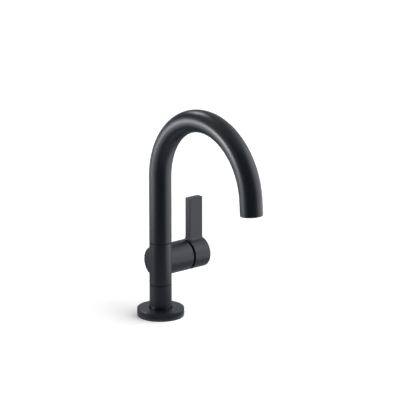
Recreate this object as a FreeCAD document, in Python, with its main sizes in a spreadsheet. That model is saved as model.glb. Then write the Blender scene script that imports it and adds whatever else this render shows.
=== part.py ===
# Gooseneck bar faucet: a deck-mounted single-hole tap with a swivelling tube spout
# and a blade lever on a side-mounted mixing cartridge.
#
# Frame: +Z up, origin at the centre of the flange's underside, which is the plane of the deck.
# The spout points along -Y, towards the user. The barrel, with the valve and the lever's hub, lies
# along X, a little behind the column.
# Every length is in millimetres and every angle in degrees.
import FreeCAD, Part

import math
import os
import sys

import Sketcher

Vector = FreeCAD.Vector

# ---------------------------------------------------------------- driving dimensions

SIZES = [
    ("column_d", 27.0, "outside diameter of pedestal, body column and spout tube"),
    ("edge_break", 0.3, "small chamfer on the machined rims at the seams"),
    ("end_round", 0.8, "rounding on the barrel's end rims"),
    # flange and gasket
    ("flange_d", 57.2, "diameter of the escutcheon flange"),
    ("flange_height", 10.0, "height of the escutcheon flange"),
    ("flange_round", 1.3, "rounding of the flange's upper rim"),
    ("flange_ledge", 2.5, "thickness of the ledge that the pedestal stands on"),
    ("foot_gap", 0.9, "ring-shaped gap round the pedestal where it enters the flange"),
    ("gasket_inner_d", 42.0, "inner diameter of the gasket groove"),
    ("gasket_width", 4.5, "width of the gasket groove"),
    ("gasket_depth", 2.0, "depth of the gasket groove"),
    # pedestal and the two seams
    ("pedestal_top", 38.95, "height of the pedestal's upper end above the deck"),
    ("seam", 1.1, "height of the dark groove at each seam"),
    ("seam_depth", 1.5, "depth of the dark groove at each seam"),
    # mounting shank and what clamps it under the deck
    ("shank_d", 22.0, "outside diameter of the threaded shank"),
    ("shank_bore_d", 18.4, "bore of the shank, which the supply hoses pass"),
    ("shank_below", 62.0, "length of the shank below the deck plane"),
    ("shank_socket", 8.0, "depth of the body's socket for the shank"),
    ("shank_chamfer", 0.9, "chamfer on the shank's lower end"),
    ("deck_thickness", 25.0, "deck that the clamping stack is shown set for"),
    ("rubber_washer_d", 44.0, "diameter of the rubber washer"),
    ("rubber_washer_height", 3.0, "thickness of the rubber washer"),
    ("steel_washer_d", 42.0, "diameter of the steel washer"),
    ("steel_washer_height", 1.5, "thickness of the steel washer"),
    ("nut_across", 32.0, "mounting nut, across flats"),
    ("nut_height", 8.0, "height of the mounting nut"),
    # valve body
    ("axis_rise", 26.25, "from the pedestal's upper end up to the barrel's axis"),
    ("body_rise", 26.25, "from the barrel's axis up to the body column's upper face"),
    ("barrel_back", 9.0, "how far the barrel's axis lies behind the column's"),
    ("barrel_d", 37.4, "diameter of the horizontal barrel and of the hub"),
    ("barrel_left", 3.5, "reach of the barrel past the column's axis, away from the lever"),
    ("barrel_right", 44.75, "reach of the barrel on the lever's side"),
    ("port_spacing", 9.8, "distance between the two supply ports"),
    ("port_d", 8.0, "diameter of a supply port's thread"),
    ("port_depth", 9.0, "length of a supply port's thread"),
    ("inlet_way_d", 5.0, "diameter of the inlet waterways"),
    ("outlet_way_d", 6.4, "diameter of the outlet waterway"),
    ("inlet_drop", 5.0, "inlet ports on the valve seat, below the barrel's axis"),
    ("outlet_rise", 6.0, "outlet port on the valve seat, above the barrel's axis"),
    # cartridge
    ("seat_station", 16.5, "valve seat, measured along X from the column's axis"),
    ("cartridge_d", 25.6, "diameter of the cartridge"),
    ("cartridge_bore_d", 26.4, "diameter of the bore that takes the cartridge"),
    ("base_length", 5.0, "length of the cartridge's base"),
    ("seal_depth", 1.2, "depth of the seal recesses in the base"),
    ("seal_width", 1.2, "radial width of a port seal"),
    ("disc_d", 21.0, "diameter of the ceramic discs"),
    ("disc_length", 3.5, "thickness of a ceramic disc"),
    ("chamber_depth", 2.0, "depth of the mixing chamber in the turning disc"),
    ("housing_length", 15.0, "length of the cartridge housing"),
    ("housing_wall", 2.0, "wall of the cartridge housing"),
    ("housing_end", 3.0, "thickness of the housing's end wall"),
    ("stem_d", 10.0, "diameter of the stem"),
    ("stem_flange", 3.0, "thickness of the stem's driving flange"),
    ("stem_square", 7.0, "stem's square end, across flats"),
    ("square_length", 12.15, "length of the stem's square end"),
    ("lug_width", 4.0, "width of the two driving lugs"),
    ("lug_length", 1.5, "depth to which the lugs engage the turning disc"),
    ("lug_setback", 0.4, "how far the lugs end inside the disc's rim"),
    ("stem_cord", 1.6, "cord diameter of the stem's O-ring"),
    ("nut_length", 7.0, "length of the cartridge's retaining nut"),
    ("nut_key", 18.0, "retaining nut's hexagonal opening, across flats"),
    # lever
    ("hub_gap", 2.6, "dark gap between barrel and hub"),
    ("gap_depth", 3.0, "how far the glide ring lies below the barrel's surface"),
    ("hub_length", 23.5, "length of the lever's hub"),
    ("lever_thickness", 9.0, "thickness of the lever's blade"),
    ("lever_width", 19.8, "width of the lever's blade along X"),
    ("blade_inset", 1.3, "how far the blade's outer edge lies inside the hub's end"),
    ("lever_reach", 70.4, "from the hub's axis to the end of the lever's blade"),
    ("lever_fillet", 5.0, "fillet between the blade's broad faces and the hub"),
    ("lever_edge", 0.6, "rounding of the hub's rims and of the blade's edges"),
    ("hub_bore_d", 18.0, "bore of the hub that takes the adapter"),
    ("hub_bore_length", 15.0, "depth of that bore"),
    ("set_screw_d", 5.0, "diameter of the set screw"),
    ("set_screw_length", 9.0, "length of the set screw"),
    ("set_screw_key", 2.5, "set screw's hexagonal socket, across flats"),
    ("set_screw_key_depth", 3.0, "depth of that socket"),
    ("set_screw_inset", 7.65, "set screw, measured from the hub's inner face"),
    # swivel
    ("post_d", 18.0, "diameter of the swivel post"),
    ("post_bore_d", 10.0, "bore of the swivel post"),
    ("post_thread_d", 16.0, "thread that screws the post into the body"),
    ("post_thread_length", 10.0, "depth of the body's thread for the post"),
    ("post_rise", 30.0, "length of the post above the body"),
    ("post_key", 12.0, "hexagonal socket in the post's upper end, across flats"),
    ("post_key_depth", 5.0, "depth of that socket"),
    ("post_chamfer", 0.6, "chamfer that leads the O-rings' sleeve over the post"),
    ("post_cord", 1.8, "cord diameter of the swivel's O-rings"),
    ("lower_seal_rise", 7.0, "lower O-ring, above the body"),
    ("seal_pitch", 6.0, "distance between the two O-rings"),
    ("ring_rise", 21.0, "retaining ring, above the body"),
    ("ring_length", 1.5, "thickness of the retaining ring"),
    ("ring_opening", 4.0, "gap in the retaining ring"),
    # spout
    ("tube_wall", 1.5, "wall of the spout tube"),
    ("spout_rise", 82.15, "from the body's upper face up to the centre of the spout's bend"),
    ("bend_radius", 83.2, "radius of the bend along the tube's centreline"),
    ("bend_angle", 175.5, "angle through which the tube is bent"),
    ("tip_length", 18.2, "straight run after the bend"),
    ("socket_length", 30.0, "length of the swivel socket in the tube's foot"),
    # outlet
    ("outlet_recess", 1.2, "how far the outlet insert lies inside the tube's end"),
    ("outlet_insert_length", 13.0, "length of the outlet insert"),
    ("aerator_d", 18.5, "thread of the aerator in the outlet insert"),
    ("aerator_length", 8.5, "length of the aerator"),
    ("aerator_wall", 1.1, "wall of the aerator's shell"),
    ("key_slot_depth", 0.9, "depth of the key slots in the aerator's rim"),
    ("outlet_shoulder", 2.0, "shoulder in the insert that the aerator's seal meets"),
    ("jet_d", 2.0, "diameter of one hole of the flow straightener"),
    ("jet_pitch", 3.1, "distance between the straightener's rings of holes"),
    # clearances
    ("slip", 0.1, "radial clearance between pieces that are screwed or pushed together"),
    ("pass_gap", 0.3, "radial clearance round a shaft that only passes through"),
    ("running", 0.05, "clearance between pieces that turn against each other"),
]

JET_RINGS = [(1, 6), (2, 12)]  # the straightener's rings of holes: pitches from its middle, holes

OVERCUT = 1.0  # how far the outline of a cut reaches past the surface that it opens
NEAR = 1e-4  # places, volumes and directions that differ by less are taken as the same

document = FreeCAD.newDocument("bar_faucet")
sheet = document.addObject("Spreadsheet::Sheet", "sizes")
for row, (alias, number, meaning) in enumerate(SIZES, start=1):
    sheet.set("A%d" % row, alias)
    sheet.set("B%d" % row, str(number))
    sheet.set("C%d" % row, meaning)
    sheet.setAlias("B%d" % row, alias)
document.recompute()


class Size:
    """A number and the formula in the sheet's names that gives it, kept side by side."""

    def __init__(self, number, formula):
        self.number = float(number)
        self.formula = formula

    def __add__(self, other):
        other = as_size(other)
        return Size(self.number + other.number, "(%s + %s)" % (self.formula, other.formula))

    def __sub__(self, other):
        other = as_size(other)
        return Size(self.number - other.number, "(%s - %s)" % (self.formula, other.formula))

    def __mul__(self, other):
        other = as_size(other)
        return Size(self.number * other.number, "(%s * %s)" % (self.formula, other.formula))

    def __truediv__(self, other):
        other = as_size(other)
        return Size(self.number / other.number, "(%s / %s)" % (self.formula, other.formula))

    def __neg__(self):
        return as_size(0) - self


def as_size(value):
    return value if isinstance(value, Size) else Size(value, "%.6f" % value)


def size(alias):
    return Size(getattr(sheet, alias), "sizes." + alias)


def root(value):
    return Size(math.sqrt(value.number), "sqrt(%s)" % value.formula)


def sine(angle):
    return Size(math.sin(math.radians(angle.number)), "sin(%s)" % angle.formula)


def cosine(angle):
    return Size(math.cos(math.radians(angle.number)), "cos(%s)" % angle.formula)


# ---------------------------------------------------------------- sizes worked out from the sheet

COLUMN_R = size("column_d") / 2
BARREL_R = size("barrel_d") / 2
SHANK_R = size("shank_d") / 2
SHANK_PASS_R = SHANK_R + size("pass_gap")
SEAM_R = COLUMN_R - size("seam_depth")

BODY_BOTTOM = size("pedestal_top")
SOCKET_TOP = BODY_BOTTOM + size("shank_socket")
BARREL_Y = size("barrel_back")
BARREL_Z = BODY_BOTTOM + size("axis_rise")
BODY_TOP = BARREL_Z + size("body_rise")
SPOUT_BOTTOM = BODY_TOP + size("seam")
BEND_CENTRE = BODY_TOP + size("spout_rise")

SEAT_X = size("seat_station")
FIXED_DISC_X = SEAT_X + size("base_length")
TURNING_DISC_X = FIXED_DISC_X + size("disc_length")
STEM_X = TURNING_DISC_X + size("disc_length")
HOUSING_END_X = FIXED_DISC_X + size("housing_length")
RETAINING_NUT_END_X = HOUSING_END_X + size("nut_length")
CARTRIDGE_R = size("cartridge_d") / 2
DISC_R = size("disc_d") / 2
STEM_R = size("stem_d") / 2

HUB_X = size("barrel_right") + size("hub_gap")
HUB_END_X = HUB_X + size("hub_length")
BLADE_X = HUB_END_X - size("blade_inset") - size("lever_width")
SET_SCREW_X = HUB_X + size("set_screw_inset")

POST_R = size("post_d") / 2
POST_TOP = BODY_TOP + size("post_rise")
TUBE_BORE_R = COLUMN_R - size("tube_wall")

AERATOR_R = size("aerator_d") / 2
UNDERSIDE = -size("deck_thickness")
STEEL_WASHER_TOP = UNDERSIDE - size("rubber_washer_height")
MOUNTING_NUT_TOP = STEEL_WASHER_TOP - size("steel_washer_height")

# ---------------------------------------------------------------- tools of the workshop

subparts = []


def bind(item, path, value):
    item.setExpression(path, as_size(value).formula)


def new_body(label):
    """An empty body, whose origin is the frame's."""
    body = document.addObject("PartDesign::Body", label)
    body.Label = label
    subparts.append(body)
    return body


def new_body_on_barrel(label):
    """An empty body, whose X axis is the barrel's."""
    body = new_body(label)
    bind(body, "Placement.Base.y", BARREL_Y)
    bind(body, "Placement.Base.z", BARREL_Z)
    return body


def new_sketch(body, name, plane, offset=None):
    """A sketch on one of the body's own origin planes, moved out along that plane's normal."""
    sketch = body.newObject("Sketcher::SketchObject", body.Label + "_" + name)
    support = [item for item in body.Origin.OriginFeatures if item.Role == plane][0]
    sketch.AttachmentSupport = [(support, "")]
    sketch.MapMode = "FlatFace"
    if offset is not None:
        bind(sketch, "AttachmentOffset.Base.z", offset)
    return sketch


def pin_down(sketch, geometry, vertex, across, up=None):
    """Ties one point of a sketch to formulas for its two coordinates, measured from the origin."""
    for kind, value in (("DistanceX", across), ("DistanceY", up)):
        if value is None:
            continue
        value = as_size(value)
        index = sketch.addConstraint(
            Sketcher.Constraint(kind, -1, 1, geometry, vertex, value.number)
        )
        bind(sketch, "Constraints[%d]" % index, value)


def draw_outline(sketch, corners):
    """A closed outline of straight edges through the corners."""
    corners = [(as_size(across), as_size(up)) for across, up in corners]
    first = sketch.GeometryCount
    count = len(corners)
    for here, there in zip(corners, corners[1:] + corners[:1]):
        start = Vector(here[0].number, here[1].number, 0)
        end = Vector(there[0].number, there[1].number, 0)
        sketch.addGeometry(Part.LineSegment(start, end), False)
    for step in range(count):
        following = first + (step + 1) % count
        sketch.addConstraint(Sketcher.Constraint("Coincident", first + step, 2, following, 1))
        pin_down(sketch, first + step, 1, *corners[step])


def draw_circle(sketch, radius, across=0, up=0):
    radius, across, up = as_size(radius), as_size(across), as_size(up)
    centre = Vector(across.number, up.number, 0)
    circle = sketch.addGeometry(Part.Circle(centre, Vector(0, 0, 1), radius.number), False)
    index = sketch.addConstraint(Sketcher.Constraint("Radius", circle, radius.number))
    bind(sketch, "Constraints[%d]" % index, radius)
    pin_down(sketch, circle, 3, across, up)


def polygon(sides, across_flats, across=0, up=0):
    """The corners of a regular polygon with an even number of sides, one of them at its top."""
    reach = as_size(across_flats) / (2 * math.cos(math.pi / sides))
    corners = []
    for corner in range(sides):
        turn = math.pi / 2 + math.tau / sides * (corner + 0.5)
        corners.append((reach * math.cos(turn) + across, reach * math.sin(turn) + up))
    return corners


def draw_hexagon(sketch, across_flats):
    draw_outline(sketch, polygon(6, across_flats))


def draw_rectangle(sketch, left, right, low, high):
    draw_outline(sketch, [(left, low), (right, low), (right, high), (left, high)])


def revolve(body, name, corners, axis="V_Axis", cut=False):
    """Turns an outline in the body's XZ plane about its upright (V_Axis) or its X axis (H_Axis)."""
    sketch = new_sketch(body, name + "_outline", "XZ_Plane")
    draw_outline(sketch, corners)
    before = body.Shape.Volume if cut else 0.0
    kind = "PartDesign::Groove" if cut else "PartDesign::Revolution"
    feature = body.newObject(kind, body.Label + "_" + name)
    feature.Profile = sketch
    feature.ReferenceAxis = (sketch, [axis])
    feature.Angle = 360
    document.recompute()
    if cut:
        check_cut(body, name, before)
    return feature


def pad(body, sketch, length, towards_normal=True):
    feature = body.newObject("PartDesign::Pad", sketch.Name + "_pad")
    feature.Profile = sketch
    feature.Reversed = not towards_normal
    bind(feature, "Length", length)
    document.recompute()
    return feature


def pocket(body, sketch, length, towards_normal=False, sideways=None):
    """Cuts the sketch to a depth along its plane's normal. sideways makes the cut oblique: it is how
    far the cut moves along Y for each unit against X, for a sketch across the X axis."""
    before = body.Shape.Volume
    feature = body.newObject("PartDesign::Pocket", sketch.Name + "_pocket")
    feature.Profile = sketch
    feature.Reversed = towards_normal
    if sideways is not None:
        feature.UseCustomVector = True
        feature.Direction = Vector(-1, sideways.number, 0)
        bind(feature, "Direction.y", sideways)
    bind(feature, "Length", length)
    document.recompute()
    check_cut(body, sketch.Name, before)
    return feature


def check_cut(body, name, before):
    if body.Shape.Volume >= before - NEAR:
        sys.exit("%s: the cut %s removes nothing" % (body.Label, name))


def edges_where(feature, test):
    """The names of a feature's edges that pass a test."""
    return ["Edge%d" % (i + 1) for i, edge in enumerate(feature.Shape.Edges) if test(edge)]


def is_ring(edge, radius, station, axis):
    """Whether an edge is a circle of this radius, centred at this station along the axis."""
    curve = edge.Curve
    if not isinstance(curve, Part.Circle):
        return False
    along = curve.Axis.cross(axis).Length < NEAR
    placed = abs(curve.Center.dot(axis) - station.number) < NEAR
    return along and placed and abs(curve.Radius - radius.number) < NEAR


def dress(body, kind, edge_names, amount):
    """Rounds or chamfers the named edges of the body's last feature."""
    if not edge_names:
        sys.exit("%s: no edge was found to finish" % body.Label)
    base = body.Tip
    feature = body.newObject("PartDesign::" + kind, "%s_%s" % (body.Label, kind.lower()))
    feature.Base = (base, edge_names)
    bind(feature, "Radius" if kind == "Fillet" else "Size", amount)
    document.recompute()
    return feature


def dress_rings(body, kind, amount, rings, axis=Vector(0, 0, 1)):
    """Rounds or chamfers circular rims, each given by its radius and its station on the axis."""
    rings = [(as_size(radius), as_size(station)) for radius, station in rings]
    names = edges_where(
        body.Tip, lambda edge: any(is_ring(edge, radius, at, axis) for radius, at in rings)
    )
    return dress(body, kind, names, amount)


def ring_solid(name, outer, inner, thickness, across, up, station):
    """A flat ring across the X axis, as the difference of two cylinders."""
    tools = []
    for part_name, radius in (("outside", outer), ("hole", inner)):
        cylinder = document.addObject("Part::Cylinder", name + "_" + part_name)
        bind(cylinder, "Radius", radius)
        bind(cylinder, "Height", thickness)
        cylinder.Placement.Rotation = FreeCAD.Rotation(Vector(0, 1, 0), 90)
        bind(cylinder, "Placement.Base.x", station)
        bind(cylinder, "Placement.Base.y", across)
        bind(cylinder, "Placement.Base.z", up)
        tools.append(cylinder)
    ring = document.addObject("Part::Cut", name)
    ring.Base, ring.Tool = tools
    return ring


X_AXIS = Vector(1, 0, 0)

# ---------------------------------------------------------------- deck flange and pedestal


def make_flange():
    """A turned ring: a ledge carries the pedestal, and a groove underneath takes the gasket."""
    body = new_body("escutcheon_flange")
    rim = size("flange_d") / 2
    hole = COLUMN_R + size("foot_gap")
    revolve(body, "ring", [
        (SHANK_PASS_R, 0), (rim, 0), (rim, size("flange_height")),
        (hole, size("flange_height")), (hole, size("flange_ledge")),
        (SHANK_PASS_R, size("flange_ledge")),
    ])
    groove_inner = size("gasket_inner_d") / 2
    groove_outer = groove_inner + size("gasket_width")
    revolve(body, "gasket_groove", [
        (groove_inner, 0), (groove_outer, 0),
        (groove_outer, size("gasket_depth")), (groove_inner, size("gasket_depth")),
    ], cut=True)
    dress_rings(body, "Fillet", size("flange_round"), [(rim, size("flange_height"))])
    dress_rings(body, "Chamfer", size("edge_break"), [(hole, size("flange_height"))])


def make_gasket():
    body = new_body("deck_gasket")
    inner = size("gasket_inner_d") / 2 + size("slip")
    outer = inner + size("gasket_width") - size("slip") * 2
    revolve(body, "ring", [
        (inner, 0), (outer, 0), (outer, size("gasket_depth")), (inner, size("gasket_depth")),
    ])


def make_pedestal():
    """The sleeve between flange and body, which the shank pulls down onto the flange's ledge."""
    body = new_body("pedestal")
    revolve(body, "sleeve", [
        (SHANK_PASS_R, size("flange_ledge")), (COLUMN_R, size("flange_ledge")),
        (COLUMN_R, BODY_BOTTOM), (SHANK_PASS_R, BODY_BOTTOM),
    ])
    dress_rings(body, "Chamfer", size("edge_break"), [(COLUMN_R, BODY_BOTTOM)])


# ---------------------------------------------------------------- below the deck


def make_shank():
    """The threaded tube that hangs from the body, through the deck."""
    body = new_body("mounting_shank")
    bore = size("shank_bore_d") / 2
    top = SOCKET_TOP - size("slip")
    bottom = -size("shank_below")
    revolve(body, "tube", [
        (bore, bottom), (SHANK_R, bottom), (SHANK_R, top), (bore, top),
    ])
    dress_rings(body, "Chamfer", size("shank_chamfer"), [(SHANK_R, bottom)])


def make_washer(label, diameter, top, height):
    body = new_body(label)
    outer = diameter / 2
    bottom = top - height
    revolve(body, "ring", [
        (SHANK_PASS_R, bottom), (outer, bottom), (outer, top), (SHANK_PASS_R, top),
    ])


def make_mounting_nut():
    """A hexagonal nut, its corners turned down to a 30 degree cone at both ends."""
    body = new_body("mounting_nut")
    bottom = MOUNTING_NUT_TOP - size("nut_height")
    hexagon = new_sketch(body, "hexagon", "XY_Plane", bottom)
    draw_hexagon(hexagon, size("nut_across"))
    pad(body, hexagon, size("nut_height"))
    bore = new_sketch(body, "bore", "XY_Plane", bottom)
    draw_circle(bore, SHANK_R + size("slip"))
    pocket(body, bore, size("nut_height"), towards_normal=True)
    flat = size("nut_across") / 2
    corner = flat * (2 / math.sqrt(3))
    drop = (corner - flat) / math.sqrt(3)
    for name, face, inwards in (("upper", MOUNTING_NUT_TOP, -1), ("lower", bottom, 1)):
        revolve(body, name + "_cone", [
            (flat, face), (corner + OVERCUT, face), (corner + OVERCUT, face + drop * inwards),
            (corner, face + drop * inwards),
        ], cut=True)


# ---------------------------------------------------------------- valve body


def make_valve_body():
    """The casting: an upright column with the barrel across its back, and its drilled waterways."""
    body = new_body("valve_body")
    collar = BODY_BOTTOM + size("seam")
    revolve(body, "column", [
        (0, BODY_BOTTOM), (SEAM_R, BODY_BOTTOM), (SEAM_R, collar), (COLUMN_R, collar),
        (COLUMN_R, BODY_TOP), (0, BODY_TOP),
    ])
    dress_rings(body, "Chamfer", size("edge_break"),
                [(COLUMN_R, collar), (COLUMN_R, BODY_TOP)])
    barrel = new_sketch(body, "barrel", "YZ_Plane", -size("barrel_left"))
    draw_circle(barrel, BARREL_R, BARREL_Y, BARREL_Z)
    pad(body, barrel, size("barrel_left") + size("barrel_right"))
    dress(body, "Fillet", edges_where(body.Tip, is_barrel_rim), size("end_round"))

    bore = new_sketch(body, "cartridge_bore", "YZ_Plane", size("barrel_right"))
    draw_circle(bore, size("cartridge_bore_d") / 2, BARREL_Y, BARREL_Z)
    pocket(body, bore, size("barrel_right") - SEAT_X)

    socket = new_sketch(body, "shank_socket", "XY_Plane", BODY_BOTTOM)
    draw_circle(socket, SHANK_R + size("slip"))
    pocket(body, socket, size("shank_socket"), towards_normal=True)

    post_thread = new_sketch(body, "post_thread", "XY_Plane", BODY_TOP)
    draw_circle(post_thread, size("post_thread_d") / 2)
    pocket(body, post_thread, size("post_thread_length"))

    drill_waterways(body)


def is_barrel_rim(edge):
    """Whether an edge is part of the rim at either end of the barrel."""
    curve = edge.Curve
    if not isinstance(curve, Part.Circle) or curve.Axis.cross(X_AXIS).Length > NEAR:
        return False
    ends = (-size("barrel_left").number, size("barrel_right").number)
    at_end = any(abs(curve.Center.x - end) < NEAR for end in ends)
    return at_end and abs(curve.Radius - BARREL_R.number) < NEAR


def drill_waterways(body):
    """Two supply ports with the drillings that lead to the valve seat, and the outlet's pair.

    The upright drillings stand in the column. Oblique ones lead from the seat, which lies further
    back, to the plane through the column's axis, and meet them there.
    """
    beside = size("port_spacing") / 2
    sideways = -BARREL_Y / SEAT_X
    inlet_height = BARREL_Z - size("inlet_drop")
    outlet_height = BARREL_Z + size("outlet_rise")
    for name, side in (("front", -1), ("rear", 1)):
        port = new_sketch(body, name + "_port", "XY_Plane", SOCKET_TOP)
        draw_circle(port, size("port_d") / 2, 0, beside * side)
        pocket(body, port, size("port_depth"), towards_normal=True)
        riser = new_sketch(body, name + "_riser", "XY_Plane", SOCKET_TOP)
        draw_circle(riser, size("inlet_way_d") / 2, 0, beside * side)
        pocket(body, riser, inlet_height - SOCKET_TOP, towards_normal=True)
        inlet = new_sketch(body, name + "_inlet", "YZ_Plane", SEAT_X)
        draw_circle(inlet, size("inlet_way_d") / 2, BARREL_Y + beside * side, inlet_height)
        pocket(body, inlet, SEAT_X, sideways=sideways)
    outlet_r = size("outlet_way_d") / 2
    outlet = new_sketch(body, "outlet", "YZ_Plane", SEAT_X)
    draw_circle(outlet, outlet_r, BARREL_Y, outlet_height)
    pocket(body, outlet, SEAT_X, sideways=sideways)
    upright = new_sketch(body, "outlet_riser", "XY_Plane", BODY_TOP)
    draw_circle(upright, outlet_r)
    pocket(body, upright, BODY_TOP - outlet_height)


# ---------------------------------------------------------------- cartridge


def valve_ports():
    """Each port of the valve seat: its name, its place across and above the axis, and its radius."""
    beside = size("port_spacing") / 2
    inlet_r = size("inlet_way_d") / 2
    return [
        ("front", -beside, -size("inlet_drop"), inlet_r),
        ("rear", beside, -size("inlet_drop"), inlet_r),
        ("outlet", as_size(0), size("outlet_rise"), size("outlet_way_d") / 2),
    ]


def make_port_seals():
    """Three rubber rings between the valve seat and the cartridge's base."""
    rings = []
    for name, across, up, radius in valve_ports():
        rings.append(ring_solid(
            "seal_" + name, radius + size("slip") + size("seal_width"), radius + size("slip"),
            size("seal_depth"), BARREL_Y + across, BARREL_Z + up, SEAT_X,
        ))
    group = document.addObject("Part::Compound", "port_seals")
    group.Label = "port_seals"
    group.Links = rings
    subparts.append(group)


def make_cartridge_base():
    """The plastic base, with a through port and a seal recess for each waterway."""
    body = new_body_on_barrel("cartridge_base")
    disc = new_sketch(body, "disc", "YZ_Plane", SEAT_X)
    draw_circle(disc, CARTRIDGE_R)
    pad(body, disc, size("base_length"))
    drill_ports(body, SEAT_X, size("base_length"))
    recess = new_sketch(body, "recesses", "YZ_Plane", SEAT_X)
    for _, across, up, radius in valve_ports():
        draw_circle(recess, radius + size("seal_width") + size("slip") * 2, across, up)
    pocket(body, recess, size("seal_depth"), towards_normal=True)


def drill_ports(body, station, length):
    ports = new_sketch(body, "ports", "YZ_Plane", station)
    for _, across, up, radius in valve_ports():
        draw_circle(ports, radius, across, up)
    pocket(body, ports, length, towards_normal=True)


def make_fixed_disc():
    body = new_body_on_barrel("fixed_disc")
    disc = new_sketch(body, "disc", "YZ_Plane", FIXED_DISC_X)
    draw_circle(disc, DISC_R)
    pad(body, disc, size("disc_length"))
    drill_ports(body, FIXED_DISC_X, size("disc_length"))


def make_turning_disc():
    """The upper ceramic disc: a blind mixing chamber in front, two driving notches behind."""
    body = new_body_on_barrel("turning_disc")
    front = TURNING_DISC_X + size("running")
    disc = new_sketch(body, "disc", "YZ_Plane", front)
    draw_circle(disc, DISC_R)
    pad(body, disc, STEM_X - front)
    chamber = new_sketch(body, "chamber", "YZ_Plane", front)
    reach = size("outlet_rise") + size("outlet_way_d") / 2
    draw_rectangle(chamber, -size("inlet_way_d"), size("inlet_way_d"), 0, reach)
    pocket(body, chamber, size("chamber_depth"), towards_normal=True)
    notches = new_sketch(body, "notches", "YZ_Plane", STEM_X)
    half = size("lug_width") / 2
    for side in (-1, 1):
        draw_rectangle(notches, lug_inner() * side, (DISC_R + OVERCUT) * side, -half, half)
    pocket(body, notches, size("lug_length"))


def lug_inner():
    """How far from the axis the driving lugs begin."""
    return DISC_R - size("lug_width") / 2


def make_cartridge_housing():
    """A plastic cup round the discs, whose end wall guides the stem."""
    body = new_body_on_barrel("cartridge_housing")
    inner = CARTRIDGE_R - size("housing_wall")
    guide = STEM_R + size("running")
    end_wall = HOUSING_END_X - size("housing_end")
    revolve(body, "cup", [
        (FIXED_DISC_X, inner), (FIXED_DISC_X, CARTRIDGE_R), (HOUSING_END_X, CARTRIDGE_R),
        (HOUSING_END_X, guide), (end_wall, guide), (end_wall, inner),
    ], axis="H_Axis")


def make_cartridge_stem():
    """The brass stem: a flange with two lugs drives the disc, a square carries the lever."""
    body = new_body_on_barrel("cartridge_stem")
    flange_end = STEM_X + size("stem_flange")
    shoulder = HOUSING_END_X - size("housing_end") - size("running")
    shoulder_r = (STEM_R + DISC_R) / 2
    revolve(body, "turning", [
        (STEM_X, 0), (STEM_X, DISC_R), (flange_end, DISC_R), (flange_end, shoulder_r),
        (shoulder, shoulder_r), (shoulder, STEM_R), (HUB_X, STEM_R), (HUB_X, 0),
    ], axis="H_Axis")
    square = new_sketch(body, "square", "YZ_Plane", HUB_X)
    half = size("stem_square") / 2
    draw_rectangle(square, -half, half, -half, half)
    pad(body, square, size("square_length"))
    groove_start, groove_end, groove_r = stem_groove()
    revolve(body, "seal_groove", [
        (groove_start, groove_r), (groove_end, groove_r),
        (groove_end, STEM_R + OVERCUT), (groove_start, STEM_R + OVERCUT),
    ], axis="H_Axis", cut=True)
    lugs = new_sketch(body, "lugs", "YZ_Plane", STEM_X)
    half_lug = size("lug_width") / 2 - size("slip")
    for side in (-1, 1):
        inner = (lug_inner() + size("slip")) * side
        outer = (DISC_R - size("lug_setback")) * side
        draw_rectangle(lugs, inner, outer, -half_lug, half_lug)
    pad(body, lugs, size("lug_length") - size("slip"), towards_normal=False)


def stem_groove():
    """The stem's O-ring groove: where it starts and ends along X, and its floor's radius."""
    middle = HOUSING_END_X - size("housing_end") / 2
    half = size("stem_cord") / 2 + size("slip")
    return middle - half, middle + half, STEM_R - size("stem_cord") - size("slip") / 2


def make_stem_seal():
    """The stem's O-ring, its round section drawn as an octagon, flush with the stem."""
    body = new_body_on_barrel("stem_seal")
    middle = HOUSING_END_X - size("housing_end") / 2
    cord = size("stem_cord")
    revolve(body, "ring", polygon(8, cord, middle, STEM_R - cord / 2), axis="H_Axis")


def make_cartridge_nut():
    """The brass ring nut that holds the cartridge in the barrel, opened by a hexagon key."""
    body = new_body_on_barrel("cartridge_nut")
    outer = size("cartridge_bore_d") / 2 - size("slip")
    disc = new_sketch(body, "disc", "YZ_Plane", HOUSING_END_X)
    draw_circle(disc, outer)
    pad(body, disc, size("nut_length"))
    key = new_sketch(body, "key", "YZ_Plane", HOUSING_END_X)
    draw_hexagon(key, size("nut_key"))
    pocket(body, key, size("nut_length"), towards_normal=True)
    dress_rings(body, "Chamfer", size("edge_break"),
                [(outer, HOUSING_END_X), (outer, RETAINING_NUT_END_X)], X_AXIS)


# ---------------------------------------------------------------- lever


def make_handle_ring():
    """The black glide ring in the gap: its spigot sits in the barrel's mouth."""
    body = new_body_on_barrel("handle_ring")
    spigot = size("cartridge_bore_d") / 2 - size("slip")
    inner = spigot - size("housing_wall")
    face = HUB_X - size("running")
    revolve(body, "ring", [
        (RETAINING_NUT_END_X, inner), (RETAINING_NUT_END_X, spigot),
        (size("barrel_right"), spigot), (size("barrel_right"), BARREL_R - size("gap_depth")),
        (face, BARREL_R - size("gap_depth")), (face, inner),
    ], axis="H_Axis")


def make_handle():
    """Hub and blade in one casting. Seen along X the blade grows out of the hub like a keyhole."""
    body = new_body_on_barrel("handle")
    hub = new_sketch(body, "hub", "YZ_Plane", HUB_X)
    draw_circle(hub, BARREL_R)
    pad(body, hub, size("hub_length"))
    blade = new_sketch(body, "blade", "YZ_Plane", BLADE_X)
    draw_keyhole(blade)
    pad(body, blade, size("lever_width"))
    dress(body, "Fillet", edges_where(body.Tip, is_lever_rim), size("lever_edge"))
    bore = new_sketch(body, "bore", "YZ_Plane", HUB_X)
    draw_circle(bore, size("hub_bore_d") / 2)
    pocket(body, bore, size("hub_bore_length"), towards_normal=True)
    below = BARREL_R + OVERCUT
    screw = new_sketch(body, "screw_hole", "XY_Plane", -below)
    draw_circle(screw, size("set_screw_d") / 2, SET_SCREW_X)
    pocket(body, screw, below, towards_normal=True)


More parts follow.
